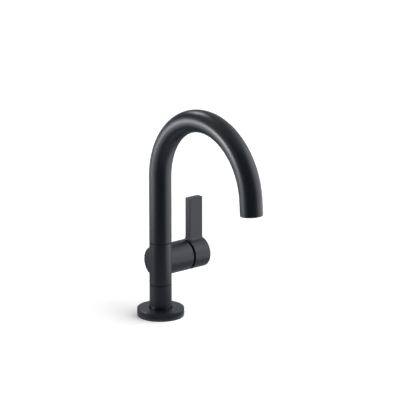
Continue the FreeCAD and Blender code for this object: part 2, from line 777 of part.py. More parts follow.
def draw_keyhole(sketch):
    """Two upright sides, each met by a fillet that is tangent to it and to the hub's circle."""
    half = size("lever_thickness") / 2
    fillet = size("lever_fillet")
    top = size("lever_reach")
    centre_across = half + fillet
    centre_up = root((BARREL_R + fillet) * (BARREL_R + fillet) - centre_across * centre_across)
    share = BARREL_R / (BARREL_R + fillet)
    foot = centre_across * share
    foot_up = centre_up * share

    points = [
        (-half, top), (-half, centre_up), (-foot, foot_up),
        (foot, foot_up), (half, centre_up), (half, top),
    ]
    at = [Vector(across.number, up.number, 0) for across, up in points]
    arcs = {}
    for side, low, high in ((-1, 1, 2), (1, 3, 4)):
        middle = Vector(centre_across.number * side, centre_up.number, 0)
        inwards = Vector(0, 0, 0) - middle
        diagonal = Vector(-side, 0, 0) + inwards.normalize()
        on_arc = middle + diagonal.normalize() * fillet.number
        arcs[low] = (Part.Arc(at[low], on_arc, at[high]), centre_across * side)
    first = sketch.GeometryCount
    for step in range(len(points)):
        if step in arcs:
            sketch.addGeometry(arcs[step][0], False)
        else:
            following = at[(step + 1) % len(points)]
            sketch.addGeometry(Part.LineSegment(at[step], following), False)
    # the left arc runs anticlockwise from its foot, so its ends are swapped
    start_of = {step: end_vertex(sketch, first + step, at[step]) for step in range(len(points))}
    for step in range(len(points)):
        following = (step + 1) % len(points)
        leaving = 3 - start_of[step]
        sketch.addConstraint(Sketcher.Constraint(
            "Coincident", first + step, leaving, first + following, start_of[following]
        ))
    for step, (across, up) in enumerate(points):
        on_foot = step in (2, 3)
        pin_down(sketch, first + step, start_of[step], across, None if on_foot else up)
    for step, (_, across) in arcs.items():
        pin_down(sketch, first + step, 3, across, centre_up)


def end_vertex(sketch, geometry, place):
    """1 if the edge starts at the place, 2 if it ends there."""
    return 1 if sketch.getPoint(geometry, 1).distanceToPoint(place) < NEAR else 2


def is_lever_rim(edge):
    """Whether an edge lies across the lever's axis, or borders the blade's end."""
    box = edge.BoundBox
    return box.XLength < NEAR or box.ZMin > size("lever_reach").number - NEAR


def make_handle_adapter():
    """A brass bush pressed into the hub, with a square hole for the stem."""
    body = new_body_on_barrel("handle_adapter")
    outer = size("hub_bore_d") / 2 - size("slip") / 2
    bush = new_sketch(body, "bush", "YZ_Plane", HUB_X)
    draw_circle(bush, outer)
    pad(body, bush, size("hub_bore_length"))
    square = new_sketch(body, "square", "YZ_Plane", HUB_X)
    half = size("stem_square") / 2 + size("slip") / 2
    draw_rectangle(square, -half, half, -half, half)
    pocket(body, square, size("square_length") + size("slip"), towards_normal=True)
    screw = new_sketch(body, "screw_hole", "XY_Plane", -size("hub_bore_d") / 2)
    draw_circle(screw, size("set_screw_d") / 2 + size("slip"), SET_SCREW_X)
    pocket(body, screw, size("hub_bore_d") / 2, towards_normal=True)


def make_set_screw():
    """A headless screw from below, its inner end on the stem's square."""
    body = new_body_on_barrel("set_screw")
    tip = -size("stem_square") / 2
    screw = new_sketch(body, "shank", "XY_Plane", tip)
    draw_circle(screw, size("set_screw_d") / 2 - size("slip") / 2)
    bind(screw, "AttachmentOffset.Base.x", SET_SCREW_X)
    pad(body, screw, size("set_screw_length"), towards_normal=False)
    key = new_sketch(body, "key", "XY_Plane", tip - size("set_screw_length"))
    draw_hexagon(key, size("set_screw_key"))
    bind(key, "AttachmentOffset.Base.x", SET_SCREW_X)
    pocket(body, key, size("set_screw_key_depth"), towards_normal=True)


# ---------------------------------------------------------------- swivel


def seal_heights():
    """Heights of the swivel's two O-rings."""
    lower = BODY_TOP + size("lower_seal_rise")
    return [lower, lower + size("seal_pitch")]


def make_swivel_post():
    """The brass post that the spout turns on, screwed into the body."""
    body = new_body("swivel_post")
    bore = size("post_bore_d") / 2
    thread = size("post_thread_d") / 2 - size("slip")
    bottom = BODY_TOP - size("post_thread_length") + size("slip")
    revolve(body, "turning", [
        (bore, bottom), (thread, bottom), (thread, BODY_TOP),
        (POST_R, BODY_TOP), (POST_R, POST_TOP), (bore, POST_TOP),
    ])
    for name, height in zip(("lower", "upper"), seal_heights()):
        half = size("post_cord") / 2 + size("slip")
        floor = POST_R - size("post_cord") - size("slip") / 2
        revolve(body, name + "_seal_groove", [
            (floor, height - half), (POST_R + OVERCUT, height - half),
            (POST_R + OVERCUT, height + half), (floor, height + half),
        ], cut=True)
    low, high = ring_groove()
    revolve(body, "ring_groove", [
        (ring_inner() - size("slip"), low), (POST_R + OVERCUT, low),
        (POST_R + OVERCUT, high), (ring_inner() - size("slip"), high),
    ], cut=True)
    key = new_sketch(body, "key", "XY_Plane", POST_TOP)
    draw_hexagon(key, size("post_key"))
    pocket(body, key, size("post_key_depth"))
    dress_rings(body, "Chamfer", size("post_chamfer"), [(POST_R, POST_TOP)])


def ring_inner():
    """Inner radius of the retaining ring, which lies half in the post and half in the socket."""
    return POST_R - size("ring_length") / 2


def ring_groove():
    """Where the retaining ring's grooves start and end."""
    middle = BODY_TOP + size("ring_rise")
    half = size("ring_length") / 2 + size("running")
    return middle - half, middle + half


def make_post_seals():
    """The swivel's two O-rings, their round sections drawn as octagons, flush with the post."""
    body = new_body("post_seals")
    body.AllowCompound = True
    cord = size("post_cord")
    for name, height in zip(("lower", "upper"), seal_heights()):
        revolve(body, name + "_ring", polygon(8, cord, POST_R - cord / 2, height))


def make_retaining_ring():
    """A split spring ring that keeps the spout from lifting off its post."""
    body = new_body("retaining_ring")
    low, high = ring_groove()
    bottom = low + size("running")
    top = high - size("running")
    outer = ring_inner() + size("ring_length")
    revolve(body, "ring", [
        (ring_inner(), bottom), (outer, bottom), (outer, top), (ring_inner(), top),
    ])
    opening = new_sketch(body, "opening", "XY_Plane", bottom)
    half = size("ring_opening") / 2
    draw_rectangle(opening, -half, half, 0, outer + OVERCUT)
    pocket(body, opening, size("ring_length"), towards_normal=True)


def make_glide_washer():
    """The thin black washer that fills the upper seam."""
    body = new_body("glide_washer")
    inner = POST_R + size("slip")
    top = SPOUT_BOTTOM - size("running")
    revolve(body, "ring", [
        (inner, BODY_TOP), (SEAM_R, BODY_TOP), (SEAM_R, top), (inner, top),
    ])


# ---------------------------------------------------------------- spout


def make_spout_tube():
    """A round tube bent through one large arc, straight at its foot and at its tip."""
    body = new_body("spout_tube")
    section = new_sketch(body, "section", "XY_Plane", SPOUT_BOTTOM)
    draw_circle(section, COLUMN_R)
    draw_circle(section, TUBE_BORE_R)
    path = new_sketch(body, "path", "YZ_Plane")
    draw_spout_path(path)
    tube = body.newObject("PartDesign::AdditivePipe", "spout_tube_pipe")
    tube.Profile = section
    tube.Spine = (path, [])
    document.recompute()
    dress_rings(body, "Chamfer", size("edge_break"), [(COLUMN_R, SPOUT_BOTTOM)])
    mouth = edges_where(body.Tip, is_mouth_edge)
    dress(body, "Chamfer", mouth, size("edge_break"))


def draw_spout_path(sketch):
    """Up from the swivel, over the arc towards -Y and down along the tangent to the tip."""
    radius = size("bend_radius")
    foot = Vector(0, SPOUT_BOTTOM.number, 0)
    shoulder = Vector(0, BEND_CENTRE.number, 0)
    centre = Vector(-radius.number, BEND_CENTRE.number, 0)
    turned = math.radians(size("bend_angle").number)
    reach = Vector(math.cos(turned), math.sin(turned), 0)
    onwards = Vector(-math.sin(turned), math.cos(turned), 0)
    end = centre + reach * radius.number
    tip = end + onwards * size("tip_length").number
    circle = Part.Circle(centre, Vector(0, 0, 1), radius.number)
    rise = sketch.addGeometry(Part.LineSegment(foot, shoulder), False)
    bend = sketch.addGeometry(Part.ArcOfCircle(circle, 0, turned), False)
    run = sketch.addGeometry(Part.LineSegment(end, tip), False)
    sketch.addConstraint(Sketcher.Constraint("Coincident", rise, 2, bend, 1))
    sketch.addConstraint(Sketcher.Constraint("Coincident", bend, 2, run, 1))
    pin_down(sketch, rise, 1, 0, SPOUT_BOTTOM)
    pin_down(sketch, rise, 2, 0, BEND_CENTRE)
    pin_down(sketch, bend, 3, -radius)
    pin_down(sketch, bend, 2, *bend_end())
    pin_down(sketch, run, 2, *tip_centre())


def bend_end():
    """Where the bend ends, as distances along Y and Z."""
    radius, turned = size("bend_radius"), size("bend_angle")
    return radius * cosine(turned) - radius, BEND_CENTRE + radius * sine(turned)


def tip_centre():
    """The centre of the tube's open end, as distances along Y and Z."""
    across, up = bend_end()
    turned = size("bend_angle")
    return (across - size("tip_length") * sine(turned),
            up + size("tip_length") * cosine(turned))


def is_mouth_edge(edge):
    """Whether an edge is a rim of the tube's open end."""
    across, up = tip_centre()
    centre = Vector(0, across.number, up.number)
    curve = edge.Curve
    return isinstance(curve, Part.Circle) and curve.Center.distanceToPoint(centre) < NEAR


def make_spout_socket():
    """The brass sleeve brazed into the tube's foot, which turns on the post and its O-rings."""
    body = new_body("spout_socket")
    outer = TUBE_BORE_R - size("slip") / 2
    bore = POST_R + size("running")
    top = SPOUT_BOTTOM + size("socket_length")
    revolve(body, "sleeve", [
        (bore, SPOUT_BOTTOM), (outer, SPOUT_BOTTOM), (outer, top), (bore, top),
    ])
    low, high = ring_groove()
    groove_r = ring_inner() + size("ring_length") + size("running")
    revolve(body, "ring_groove", [
        (bore - OVERCUT, low), (groove_r, low), (groove_r, high), (bore - OVERCUT, high),
    ], cut=True)


# ---------------------------------------------------------------- outlet


def set_at_tip(item):
    """Puts a piece that was drawn about the upright axis at the tube's end, in line with it."""
    across, up = tip_centre()
    item.Placement.Rotation = FreeCAD.Rotation(X_AXIS, size("bend_angle").number - 180)
    bind(item, "Placement.Rotation.Angle", size("bend_angle") - 180)
    bind(item, "Placement.Base.y", across)
    bind(item, "Placement.Base.z", up)


def make_outlet_insert():
    """The brass ring brazed into the tube's end, threaded for the aerator."""
    body = new_body("outlet_insert")
    outer = TUBE_BORE_R - size("slip") / 2
    low = size("outlet_recess")
    high = low + size("outlet_insert_length")
    shoulder = high - size("outlet_shoulder")
    narrow = AERATOR_R - size("outlet_shoulder")
    revolve(body, "ring", [
        (AERATOR_R, low), (outer, low), (outer, high), (narrow, high),
        (narrow, shoulder), (AERATOR_R, shoulder),
    ])
    set_at_tip(body)


def make_aerator_shell():
    """The aerator's threaded shell, with key slots in its rim and a ledge for its core."""
    body = new_body("aerator_shell")
    outer = AERATOR_R - size("slip")
    inner = outer - size("aerator_wall")
    low = size("outlet_recess")
    high = low + size("aerator_length")
    ledge = inner - size("aerator_wall")
    ledge_top = low + size("aerator_wall")
    revolve(body, "shell", [
        (ledge, low), (outer, low), (outer, high), (inner, high),
        (inner, ledge_top), (ledge, ledge_top),
    ])
    slots = new_sketch(body, "key_slots", "XY_Plane", low)
    half = size("aerator_wall")
    for side in (-1, 1):
        draw_rectangle(slots, (ledge - OVERCUT) * side, (outer + OVERCUT) * side, -half, half)
    pocket(body, slots, size("key_slot_depth"), towards_normal=True)
    set_at_tip(body)


def make_aerator_core():
    """The flow straightener: rings of small round holes through a plastic disc."""
    body = new_body("aerator_core")
    low = size("outlet_recess") + size("aerator_wall")
    high = size("outlet_recess") + size("aerator_length")
    radius = AERATOR_R - size("aerator_wall") - size("slip") * 2
    revolve(body, "disc", [(0, low), (radius, low), (radius, high), (0, high)])
    jets = new_sketch(body, "jets", "XY_Plane", low)
    draw_circle(jets, size("jet_d") / 2)
    for pitches, count in JET_RINGS:
        reach = size("jet_pitch") * pitches
        for hole in range(count):
            turn = math.tau / count * hole
            draw_circle(jets, size("jet_d") / 2, reach * math.cos(turn), reach * math.sin(turn))
    pocket(body, jets, high - low, towards_normal=True)
    set_at_tip(body)


def make_aerator_seal():
    """The rubber washer between the aerator and the shoulder in the outlet insert."""
    body = new_body("aerator_seal")
    low = size("outlet_recess") + size("aerator_length")
    high = size("outlet_recess") + size("outlet_insert_length") - size("outlet_shoulder")
    inner = AERATOR_R - size("outlet_shoulder")
    outer = AERATOR_R - size("slip")
    revolve(body, "washer", [(inner, low), (outer, low), (outer, high), (inner, high)])
    set_at_tip(body)


# ---------------------------------------------------------------- the whole faucet


def check_document():
    """Stops if any object failed, or any sub-part has no valid shape."""
    for item in document.Objects:
        if "Invalid" in item.State or "Error" in item.State:
            sys.exit("%s failed: %s" % (item.Label, item.State))
    for item in subparts:
        if item.Shape.isNull() or not item.Shape.isValid():
            sys.exit("%s has no valid shape" % item.Label)


def make_faucet():
    make_flange()
    make_gasket()
    make_pedestal()
    make_shank()
    make_washer("rubber_washer", size("rubber_washer_d"), UNDERSIDE,
                size("rubber_washer_height"))
    make_washer("steel_washer", size("steel_washer_d"), STEEL_WASHER_TOP,
                size("steel_washer_height"))
    make_mounting_nut()
    make_valve_body()
    make_port_seals()
    make_cartridge_base()
    make_fixed_disc()
    make_turning_disc()
    make_cartridge_housing()
    make_cartridge_stem()
    make_stem_seal()
    make_cartridge_nut()
    make_handle_ring()
    make_handle()
    make_handle_adapter()
    make_set_screw()
    make_swivel_post()
    make_post_seals()
    make_retaining_ring()
    make_glide_washer()
    make_spout_tube()
    make_spout_socket()
    make_outlet_insert()
    make_aerator_shell()
    make_aerator_core()
    make_aerator_seal()


make_faucet()
document.recompute()
check_document()
os.makedirs("parts", exist_ok=True)
for item in subparts:
    item.Shape.exportStep(os.path.join("parts", item.Label + ".step"))
    print("%-20s %10.1f mm3" % (item.Label, item.Shape.Volume))
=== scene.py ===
"""Looks and studio of a gooseneck bar faucet, around its fixed frame of solid pieces.

The solids keep their shape and place. Each gets a finish worked out from its own coordinates, and the
plain shank under the deck is replaced by one with a cut thread. Lengths are in metres: +Z is up, the
origin is the centre of the flange's underside, the spout points along -Y and the hub's end faces +X.
"""

import math

import bmesh
import bpy
import numpy as np
from bpy.props import FloatProperty, FloatVectorProperty, IntProperty, PointerProperty
from bpy.types import Operator, Panel, PropertyGroup
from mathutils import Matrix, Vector


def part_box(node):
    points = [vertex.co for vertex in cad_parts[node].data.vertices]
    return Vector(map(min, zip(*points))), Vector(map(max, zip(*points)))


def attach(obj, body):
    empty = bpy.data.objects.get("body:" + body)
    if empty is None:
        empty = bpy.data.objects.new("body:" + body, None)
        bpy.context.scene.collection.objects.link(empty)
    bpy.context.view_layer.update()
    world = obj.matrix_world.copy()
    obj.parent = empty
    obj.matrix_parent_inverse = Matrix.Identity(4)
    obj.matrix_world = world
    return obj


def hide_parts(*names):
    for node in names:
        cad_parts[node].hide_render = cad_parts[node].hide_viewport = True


bl_info = {
    "name": "Gooseneck Bar Faucet Looks",
    "version": (1, 0, 0),
    "blender": (4, 5, 0),
    "location": "View3D > Sidebar > Faucet",
    "description": "Finishes, shank thread and studio for a gooseneck bar faucet",
    "category": "Object",
}

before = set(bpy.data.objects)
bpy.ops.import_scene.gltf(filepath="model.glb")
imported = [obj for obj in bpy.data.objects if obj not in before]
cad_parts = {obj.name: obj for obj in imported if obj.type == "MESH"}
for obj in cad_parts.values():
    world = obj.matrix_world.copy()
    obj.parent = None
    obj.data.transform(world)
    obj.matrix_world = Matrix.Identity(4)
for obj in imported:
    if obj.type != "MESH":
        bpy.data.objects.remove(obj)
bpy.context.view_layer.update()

BLACK_PIECES = ("escutcheon_flange", "pedestal", "valve_body", "handle", "spout_tube")
BLACK_PLASTIC_PIECES = (
    "glide_washer", "handle_ring", "cartridge_base", "cartridge_housing", "aerator_shell",
)
WHITE_PLASTIC_PIECES = ("aerator_core",)
RUBBER_PIECES = (
    "deck_gasket", "rubber_washer", "port_seals", "stem_seal", "post_seals", "aerator_seal",
)
CERAMIC_PIECES = ("fixed_disc", "turning_disc")
BRASS_ABOUT_COLUMN = ("mounting_nut", "swivel_post", "spout_socket")
BRASS_ABOUT_VALVE = ("cartridge_nut", "cartridge_stem", "handle_adapter")
BRASS_ABOUT_OUTLET = ("outlet_insert",)
STEEL_ABOUT_COLUMN = ("steel_washer", "retaining_ring")
STEEL_ABOUT_SCREW = ("set_screw",)
SHANK = "mounting_shank"

COLUMN_FOOT = (0.0, 0.0, 0.0)
UPRIGHT = (0.0, 0.0, 1.0)
SIDEWAYS = (1.0, 0.0, 0.0)

# How each finish is worked. Grain and patch are the sizes of the bumps and of the slow drifts, pitch
# is the step between tool marks, and bump is the height of either: all in metres. Spread is how far
# the roughness drifts, and drift how far the tint does.
COATING = {"grain": 0.00035, "patch": 0.030, "spread": 0.06, "bump": 0.000004, "drift": 0.06}
BLACK_MOULDING = {
    "roughness": 0.48, "grain": 0.0002, "patch": 0.012, "spread": 0.10, "bump": 0.000006, "drift": 0.05,
}
WHITE_MOULDING = {
    "roughness": 0.42, "grain": 0.0003, "patch": 0.008, "spread": 0.10, "bump": 0.000005, "drift": 0.03,
}
RUBBER_MOULDING = {
    "roughness": 0.72, "grain": 0.00025, "patch": 0.010, "spread": 0.16, "bump": 0.000012, "drift": 0.12,
}
LAPPING = {
    "roughness": 0.16, "grain": 0.00012, "patch": 0.006, "spread": 0.08, "bump": 0.000001, "drift": 0.03,
}
BRASS_TURNING = {"roughness": 0.30, "pitch": 0.00018, "spread": 0.22, "bump": 0.000006}
STEEL_TURNING = {"roughness": 0.28, "pitch": 0.00015, "spread": 0.20, "bump": 0.000004}
FINE_DETAIL, SLOW_DETAIL = 2.0, 3.0  # octaves of noise in the grain and in the drifts


def middle_of(node):
    """The centre of a solid's box."""
    low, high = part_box(node)
    return (low + high) / 2


def radii_about_column(node):
    """The smallest and largest distance of a solid's points from the column's axis."""
    points = np.empty(len(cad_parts[node].data.vertices) * 3, np.float32)
    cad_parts[node].data.vertices.foreach_get("co", points)
    distances = np.hypot(points[0::3], points[1::3])
    return float(distances.min()), float(distances.max())


# ---------------------------------------------------------------- sizes and colours


def colour_property(name, description, default):
    """A colour that the user may change."""
    return FloatVectorProperty(
        name=name, description=description, default=default, subtype="COLOR", min=0.0, max=1.0
    )


def length_property(name, description, default):
    """A length, which can't be negative."""
    return FloatProperty(name=name, description=description, default=default, min=0.0, unit="LENGTH")


def factor_property(name, description, default):
    """A share between none and all."""
    return FloatProperty(
        name=name, description=description, default=default, min=0.0, max=1.0, subtype="FACTOR"
    )


class FaucetFinishes(PropertyGroup):
    """Colours and gloss of the faucet's finishes."""

    black: colour_property("Black finish", "Colour of the coated metal", (0.0030, 0.0040, 0.0065))
    black_roughness: factor_property("Black roughness", "Roughness of the coated metal", 0.34)
    black_plastic: colour_property("Black plastic", "Colour of the black acetal", (0.007, 0.007, 0.008))
    white_plastic: colour_property("White plastic", "Colour of the straightener", (0.78, 0.78, 0.75))
    rubber: colour_property("Rubber", "Colour of seals and gaskets", (0.018, 0.018, 0.019))
    brass: colour_property("Brass", "Colour of the bare brass", (0.72, 0.50, 0.23))
    steel: colour_property("Steel", "Colour of the stainless steel", (0.58, 0.57, 0.55))
    ceramic: colour_property("Ceramic", "Colour of the lapped discs", (0.80, 0.78, 0.72))


class FaucetThread(PropertyGroup):
    """Sizes of the thread cut on the mounting shank."""

    pitch: length_property("Pitch", "Rise of the thread in one turn", 0.0015)
    depth: length_property("Depth", "Depth of the thread below its crest", 0.0008)
    plain_top: length_property("Plain end", "Unthreaded length below the deck plane", 0.003)
    steps: IntProperty(name="Steps", description="Facets in one turn", default=96, min=12, max=360)


class FaucetStudio(PropertyGroup):
    """The floor, the light and the camera."""

    floor: colour_property("Floor", "Colour of the floor", (0.95, 0.95, 0.95))
    floor_radius: length_property("Floor radius", "Where the floor has faded into the backdrop", 3.0)
    floor_glow: FloatProperty(
        name="Floor glow", description="Light that brings the unshaded floor up to white",
        default=0.32, min=0.0,
    )
    fill: FloatProperty(
        name="Fill", description="Strength of the even light from all round", default=0.30, min=0.0
    )
    bright_side: FloatProperty(
        name="Bright side", description="Strength of the soft light from the window's side",
        default=2.8, min=0.0,
    )
    azimuth: FloatProperty(
        name="Azimuth", description="Camera's place round the faucet, from the front",
        default=math.radians(-39.743), subtype="ANGLE",
    )
    elevation: FloatProperty(
        name="Elevation", description="Camera's height above the horizon",
        default=math.radians(15.884), subtype="ANGLE",
    )
    distance: length_property("Distance", "From the camera to the point that it aims at", 3.5)
    lens: FloatProperty(
        name="Lens", description="Focal length of the camera, in millimetres", default=262.31, min=1.0
    )
    aim: FloatVectorProperty(
        name="Aim", description="The point at the middle of the picture",
        default=(0.03660, -0.03042, 0.14366), subtype="TRANSLATION", unit="LENGTH",
    )


# ---------------------------------------------------------------- surfaces


MERGE_DISTANCE = 1e-6
THREAD_SHARP_ANGLE = math.radians(40.0)
SMOOTH_ALL_OVER = math.pi
CREST_END, ROOT_START, ROOT_END = 1 / 8, 7 / 16, 11 / 16  # places along one turn of the thread


def grid_points(x, y, z):
    """A grid of points from its coordinates. One that varies less is spread out to the others."""
    return np.stack(np.broadcast_arrays(x, y, z), axis=-1)


def mesh_from_grid(name, points, sharp_angle):
    """A mesh object from a grid of points, whose rows and columns follow a surface's two parameters.

    Each cell of the grid is one face, which faces the way of the cross product of the columns' direction
    with the rows'. Points that fall together, where the surface closes on itself, are merged.
    """
    rows, columns = points.shape[:2]
    corner = np.arange(rows * columns).reshape(rows, columns)
    cells = np.stack(
        [corner[:-1, :-1], corner[:-1, 1:], corner[1:, 1:], corner[1:, :-1]], axis=-1
    ).reshape(-1, 4)
    mesh = bpy.data.meshes.new(name)
    mesh.from_pydata(points.reshape(-1, 3).tolist(), [], cells.tolist())
    shape = bmesh.new()
    shape.from_mesh(mesh)
    bmesh.ops.remove_doubles(shape, verts=shape.verts, dist=MERGE_DISTANCE)
    bmesh.ops.dissolve_degenerate(shape, edges=shape.edges, dist=MERGE_DISTANCE)
    shape.to_mesh(mesh)
    shape.free()
    mesh.shade_smooth()
    mesh.set_sharp_from_angle(angle=sharp_angle)
    piece = bpy.data.objects.new(name, mesh)
    bpy.context.scene.collection.objects.link(piece)
    return piece


def threaded_tube(sizes, low, thread_top, top, bore, crest):
    """Points of a tube whose outside carries a thread up to thread_top and is plain above it.

    The first parameter goes along the thread's profile, turn after turn: four rows to a turn, at the
    start and end of its flat crest and of its flat root. The second is the angle round the tube, and
    each row rises by one pitch per turn, so that a row is one line of the helix. Rows past either end
    of the thread are held at the end, and the crest there is cut down at 45 degrees. Plain rings for the
    shank above the thread, the top face, the bore and the bottom face close the surface.
    """
    turns = math.ceil((thread_top - low) / sizes.pitch) + 1
    along = (np.arange(-1, turns)[:, None] + np.array([0, CREST_END, ROOT_START, ROOT_END])).ravel()
    profile = np.tile([0.0, 0.0, sizes.depth, sizes.depth], turns + 1)
    angle = np.linspace(0.0, math.tau, sizes.steps + 1)
    height = low + sizes.pitch * (along[:, None] + angle / math.tau)
    height = np.clip(height, low, thread_top)
    to_end = np.minimum(height - low, thread_top - height)
    radius = np.minimum(crest - profile[:, None], crest - sizes.depth + to_end)
    rings = [(crest - sizes.depth, thread_top), (crest, thread_top + sizes.depth),
             (crest, top), (bore, top), (bore, low), (crest - sizes.depth, low)]
    ring_radius, ring_height = np.array(rings).T
    shape = (len(rings), len(angle))
    height = np.vstack([height, np.broadcast_to(ring_height[:, None], shape)])
    radius = np.vstack([radius, np.broadcast_to(ring_radius[:, None], shape)])
    return grid_points(radius * np.cos(angle), radius * np.sin(angle), height)


def disc(radius, rings, sides):
    """Points of a flat disc: one parameter is the way in from the rim, the other the angle."""
    reach = np.linspace(radius, 0.0, rings)[:, None]
    angle = np.linspace(0.0, math.tau, sides + 1)
    return grid_points(reach * np.cos(angle), reach * np.sin(angle), 0.0)


# ---------------------------------------------------------------- shared effects


NUMBER, VECTOR = "NodeSocketFloat", "NodeSocketVector"


def new_group(name, inputs, outputs):
    """An empty shader node group with named inputs, (name, kind, default), and named outputs."""
    group = bpy.data.node_groups.new(name, "ShaderNodeTree")
    for label, kind, default in inputs:
        socket = group.interface.new_socket(name=label, in_out="INPUT", socket_type=kind)
        socket.default_value = default
    for label in outputs:
        group.interface.new_socket(name=label, in_out="OUTPUT", socket_type=NUMBER)
    given = group.nodes.new("NodeGroupInput")
    result = group.nodes.new("NodeGroupOutput")
    return group, given, result


def put(tree, value, slot):
    """Gives a socket its value, which is a plain one or another node's output."""
    if isinstance(value, bpy.types.NodeSocket):
        tree.links.new(value, slot)
    else:
        slot.default_value = value


def add_math(tree, operation, *operands):
    """The result of a Math node."""
    node = tree.nodes.new("ShaderNodeMath")
    node.operation = operation
    for value, slot in zip(operands, node.inputs):
        put(tree, value, slot)
    return node.outputs[0]


def add_vector_math(tree, operation, *operands):
    """The results of a Vector Math node, under the names Vector and Value."""
    node = tree.nodes.new("ShaderNodeVectorMath")
    node.operation = operation
    for value, slot in zip(operands, node.inputs):
        put(tree, value, slot)
    return node.outputs


def add_fade(tree, value, start, end, first=0.0, last=1.0):
    """Goes smoothly from first to last as the value goes from start to end."""
    fade = tree.nodes.new("ShaderNodeMapRange")
    fade.interpolation_type = "SMOOTHSTEP"
    for label, given in (("Value", value), ("From Min", start), ("From Max", end),
                         ("To Min", first), ("To Max", last)):
        put(tree, given, fade.inputs[label])
    return fade.outputs["Result"]


def add_noise(tree, where, scale, detail):
    """A noise that reads the given coordinates, centred on a half."""
    noise = tree.nodes.new("ShaderNodeTexNoise")
    noise.inputs["Detail"].default_value = detail
    tree.links.new(where, noise.inputs["Vector"])
    tree.links.new(scale, noise.inputs["Scale"])
    return noise.outputs["Fac"]


def uneven(tree, noise, middle, spread):
    """A value that drifts about its middle by the spread, as the noise does."""
    drift = add_math(tree, "MULTIPLY", add_math(tree, "SUBTRACT", noise, 0.5), spread)
    return add_math(tree, "ADD", middle, drift)


def make_grain_group():
    """Grain of a sprayed, moulded or lapped surface: fine bumps, with slow drifts of gloss and tint."""
    group, given, result = new_group(
        "fine_grain",
        [("Grain", NUMBER, 0.0003), ("Patch", NUMBER, 0.02),
         ("Roughness", NUMBER, 0.5), ("Spread", NUMBER, 0.1)],
        ["Height", "Roughness", "Tint"],
    )
    place = group.nodes.new("ShaderNodeTexCoord").outputs["Object"]
    grains_per_metre = add_math(group, "DIVIDE", 1.0, given.outputs["Grain"])
    patches_per_metre = add_math(group, "DIVIDE", 1.0, given.outputs["Patch"])
    fine = add_noise(group, place, grains_per_metre, FINE_DETAIL)
    slow = add_noise(group, place, patches_per_metre, SLOW_DETAIL)
    gloss = uneven(group, slow, given.outputs["Roughness"], given.outputs["Spread"])
    group.links.new(fine, result.inputs["Height"])
    group.links.new(gloss, result.inputs["Roughness"])
    group.links.new(slow, result.inputs["Tint"])
    return group


def make_lathe_group():
    """Tool marks of a turned surface: rings about an axis, on its barrel and on its faces alike.

    A point's ring is numbered by its distance along the axis plus its distance from the axis, and an
    uneven noise of that number gives the ring's height and gloss.
    """
    group, given, result = new_group(
        "lathe_marks",
        [("Centre", VECTOR, COLUMN_FOOT), ("Axis", VECTOR, UPRIGHT), ("Pitch", NUMBER, 0.0002),
         ("Roughness", NUMBER, 0.3), ("Spread", NUMBER, 0.1)],
        ["Height", "Roughness"],
    )
    place = group.nodes.new("ShaderNodeTexCoord").outputs["Object"]
    offset = add_vector_math(group, "SUBTRACT", place, given.outputs["Centre"])["Vector"]
    along = add_vector_math(group, "DOT_PRODUCT", offset, given.outputs["Axis"])["Value"]
    round_axis = add_vector_math(group, "CROSS_PRODUCT", offset, given.outputs["Axis"])["Vector"]
    from_axis = add_vector_math(group, "LENGTH", round_axis)["Value"]
    ring = add_math(group, "ADD", along, from_axis)
    noise = group.nodes.new("ShaderNodeTexNoise")
    noise.noise_dimensions = "1D"
    noise.inputs["Scale"].default_value = 1.0
    group.links.new(add_math(group, "DIVIDE", ring, given.outputs["Pitch"]), noise.inputs["W"])
    gloss = uneven(group, noise.outputs["Fac"], given.outputs["Roughness"], given.outputs["Spread"])
    group.links.new(noise.outputs["Fac"], result.inputs["Height"])
    group.links.new(gloss, result.inputs["Roughness"])
    return group


def shared_group(name, make):
    """The node group of that name, made the first time that a finish asks for it."""
    return bpy.data.node_groups.get(name) or make()


# ---------------------------------------------------------------- finishes


def new_finish(name, make_effect, effect_name, effect_values, bump):
    """A material whose roughness and bump come from a shared effect, placed with its own values."""
    material = bpy.data.materials.new(name)
    material.use_nodes = True
    tree = material.node_tree
    shader = tree.nodes["Principled BSDF"]
    effect = tree.nodes.new("ShaderNodeGroup")
    effect.node_tree = shared_group(effect_name, make_effect)
    for label, value in effect_values.items():
        effect.inputs[label].default_value = value
    relief = tree.nodes.new("ShaderNodeBump")
    relief.inputs["Distance"].default_value = bump
    tree.links.new(effect.outputs["Height"], relief.inputs["Height"])
    tree.links.new(relief.outputs["Normal"], shader.inputs["Normal"])
    tree.links.new(effect.outputs["Roughness"], shader.inputs["Roughness"])
    return material, shader, effect


def tint_between(material, shader, mask, colour, other):
    """Lets the base colour drift between two near tints."""
    tree = material.node_tree
    mix = tree.nodes.new("ShaderNodeMix")
    mix.data_type = "RGBA"
    mix.inputs["A"].default_value = (*colour, 1.0)
    mix.inputs["B"].default_value = (*other, 1.0)
    tree.links.new(mask, mix.inputs["Factor"])
    tree.links.new(mix.outputs["Result"], shader.inputs["Base Color"])


def scaled(colour, share):
    """A colour made lighter or darker."""
    return tuple(channel * share for channel in colour)


def grained_finish(name, colour, roughness, grain, patch, spread, bump, drift):
    """A sprayed, moulded or lapped surface, whose tint drifts a little either side of its colour."""
    material, shader, effect = new_finish(
        name, make_grain_group, "fine_grain",
        {"Grain": grain, "Patch": patch, "Roughness": roughness, "Spread": spread}, bump,
    )
    lighter, darker = scaled(colour, 1.0 + drift), scaled(colour, 1.0 - drift)
    tint_between(material, shader, effect.outputs["Tint"], lighter, darker)
    return material


def turned_finish(name, colour, roughness, pitch, spread, bump, centre, axis):
    """Bare metal turned about an axis."""
    material, shader, _ = new_finish(
        name, make_lathe_group, "lathe_marks",
        {"Centre": centre, "Axis": axis, "Pitch": pitch, "Roughness": roughness, "Spread": spread}, bump,
    )
    shader.inputs["Base Color"].default_value = (*colour, 1.0)
    shader.inputs["Metallic"].default_value = 1.0
    return material


def dress(nodes, material):
    """Gives solids of the frame a finish."""
    for node in nodes:
        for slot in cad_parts[node].material_slots:
            slot.material = material


